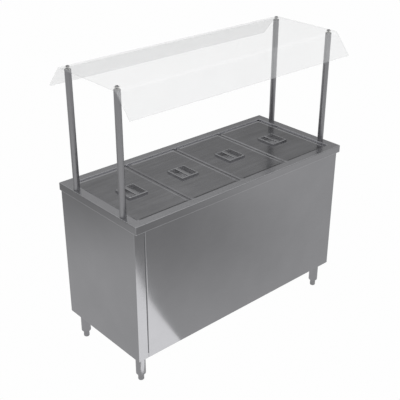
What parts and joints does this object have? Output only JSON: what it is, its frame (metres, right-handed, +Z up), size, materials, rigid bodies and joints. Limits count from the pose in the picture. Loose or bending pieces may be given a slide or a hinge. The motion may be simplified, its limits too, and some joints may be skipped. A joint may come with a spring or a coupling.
{
  "type": "buffet counter with sneeze guard",
  "caption": "Stainless buffet counter with lidded food wells under a clear folded sneeze guard on posts, sliding rear doors and adjustable feet.",
  "frame": {"origin": "on the floor, under the centre of the counter top", "axes": "+X along the counter, +Y towards the operator's side, -Y towards the customers, +Z up"},
  "size_m": [1.44, 0.628, 1.5585],
  "materials": {
    "clear_sheet": "clear, polished",
    "post_steel": "satin tube",
    "nylon": "moulded, natural",
    "fastener_steel": "bright zinc or stainless",
    "sheet_steel": "brushed sheet",
    "well_steel": "pressed, semi-bright",
    "lid_steel": "semi-polished",
    "zinc_box": "dull zinc",
    "black_plastic": "moulded",
    "rocker_plastic": "moulded",
    "lamp_plastic": "clear coloured",
    "heater_sheath": "dull nickel alloy",
    "brass": "machined",
    "lever_paint": "dipped",
    "door_steel": "brushed sheet",
    "leg_steel": "satin tube"
  },
  "bodies": {
    "counter": {"guard_panel": "clear_sheet", "post_front_left": "post_steel", "post_front_right": "post_steel", "post_rear_left": "post_steel", "post_rear_right": "post_steel", "post_plugs": "post_steel", "panel_washers": "nylon", "clamp_knobs": "fastener_steel", "socket_screws": "fastener_steel", "leg_bolts": "fastener_steel", "counter_top": "sheet_steel", "top_stiffeners": "sheet_steel", "left_end_panel": "sheet_steel", "right_end_panel": "sheet_steel", "front_panel": "sheet_steel", "bottom_shelf": "sheet_steel", "shelf_braces": "sheet_steel", "control_panel": "sheet_steel", "door_tracks": "sheet_steel", "post_sockets": "sheet_steel", "water_tank": "well_steel", "pan_bars": "well_steel", "thermostat": "zinc_box", "terminal_box": "zinc_box", "power_switch": "black_plastic", "cable_gland": "black_plastic", "pilot_lamp": "lamp_plastic", "heating_element": "heater_sheath", "element_clips": "well_steel", "element_nuts": "brass", "drain_fitting": "brass", "drain_valve": "brass", "drain_pipe": "fastener_steel", "leg_front_left": "leg_steel", "leg_front_right": "leg_steel", "leg_rear_left": "leg_steel", "leg_rear_right": "leg_steel"},
    "pan_1": {"pan_1": "well_steel"},
    "lid_1": {"lid_1": "lid_steel", "lid_handle_1": "lid_steel"},
    "pan_2": {"pan_2": "well_steel"},
    "lid_2": {"lid_2": "lid_steel", "lid_handle_2": "lid_steel"},
    "pan_3": {"pan_3": "well_steel"},
    "lid_3": {"lid_3": "lid_steel", "lid_handle_3": "lid_steel"},
    "pan_4": {"pan_4": "well_steel"},
    "lid_4": {"lid_4": "lid_steel", "lid_handle_4": "lid_steel"},
    "door_left": {"door_left": "door_steel"},
    "door_right": {"door_right": "door_steel"},
    "thermostat_knob": {"thermostat_knob": "black_plastic"},
    "switch_rocker": {"switch_rocker": "rocker_plastic"},
    "drain_lever": {"drain_lever": "lever_paint"},
    "foot_front_left": {"foot_front_left": "leg_steel"},
    "foot_front_right": {"foot_front_right": "leg_steel"},
    "foot_rear_left": {"foot_rear_left": "leg_steel"},
    "foot_rear_right": {"foot_rear_right": "leg_steel"}
  },
  "joints": [
    {"name": "pan_1_lift", "type": "slide", "parent": "counter", "child": "pan_1", "axis": [0, 0, 1], "range_m": [0, 0.25]},
    {"name": "pan_2_lift", "type": "slide", "parent": "counter", "child": "pan_2", "axis": [0, 0, 1], "range_m": [0, 0.25]},
    {"name": "pan_3_lift", "type": "slide", "parent": "counter", "child": "pan_3", "axis": [0, 0, 1], "range_m": [0, 0.25]},
    {"name": "pan_4_lift", "type": "slide", "parent": "counter", "child": "pan_4", "axis": [0, 0, 1], "range_m": [0, 0.25]},
    {"name": "lid_1_lift", "type": "slide", "parent": "pan_1", "child": "lid_1", "axis": [0, 0, 1], "range_m": [0, 0.2]},
    {"name": "lid_2_lift", "type": "slide", "parent": "pan_2", "child": "lid_2", "axis": [0, 0, 1], "range_m": [0, 0.2]},
    {"name": "lid_3_lift", "type": "slide", "parent": "pan_3", "child": "lid_3", "axis": [0, 0, 1], "range_m": [0, 0.2]},
    {"name": "lid_4_lift", "type": "slide", "parent": "pan_4", "child": "lid_4", "axis": [0, 0, 1], "range_m": [0, 0.2]},
    {"name": "door_left_slide", "type": "slide", "parent": "counter", "child": "door_left", "axis": [1, 0, 0], "range_m": [0, 0.68]},
    {"name": "door_right_slide", "type": "slide", "parent": "counter", "child": "door_right", "axis": [-1, 0, 0], "range_m": [0, 0.68]},
    {"name": "thermostat_turn", "type": "hinge", "parent": "counter", "child": "thermostat_knob", "pos_m": [-0.52, 0.29, 0.78], "axis": [0, -1, 0], "range_deg": [0, 270]},
    {"name": "switch_tip", "type": "hinge", "parent": "counter", "child": "switch_rocker", "pos_m": [-0.44, 0.288, 0.78], "axis": [1, 0, 0], "range_deg": [-8, 8]},
    {"name": "drain_lever_turn", "type": "hinge", "parent": "counter", "child": "drain_lever", "pos_m": [0.56, 0.204, 0.662], "axis": [0, -1, 0], "range_deg": [0, 90]},
    {"name": "foot_front_left_screw", "type": "slide", "parent": "counter", "child": "foot_front_left", "axis": [0, 0, 1], "range_m": [-0.015, 0.03]},
    {"name": "foot_front_right_screw", "type": "slide", "parent": "counter", "child": "foot_front_right", "axis": [0, 0, 1], "range_m": [-0.015, 0.03]},
    {"name": "foot_rear_left_screw", "type": "slide", "parent": "counter", "child": "foot_rear_left", "axis": [0, 0, 1], "range_m": [-0.015, 0.03]},
    {"name": "foot_rear_right_screw", "type": "slide", "parent": "counter", "child": "foot_rear_right", "axis": [0, 0, 1], "range_m": [-0.015, 0.03]}
  ]
}
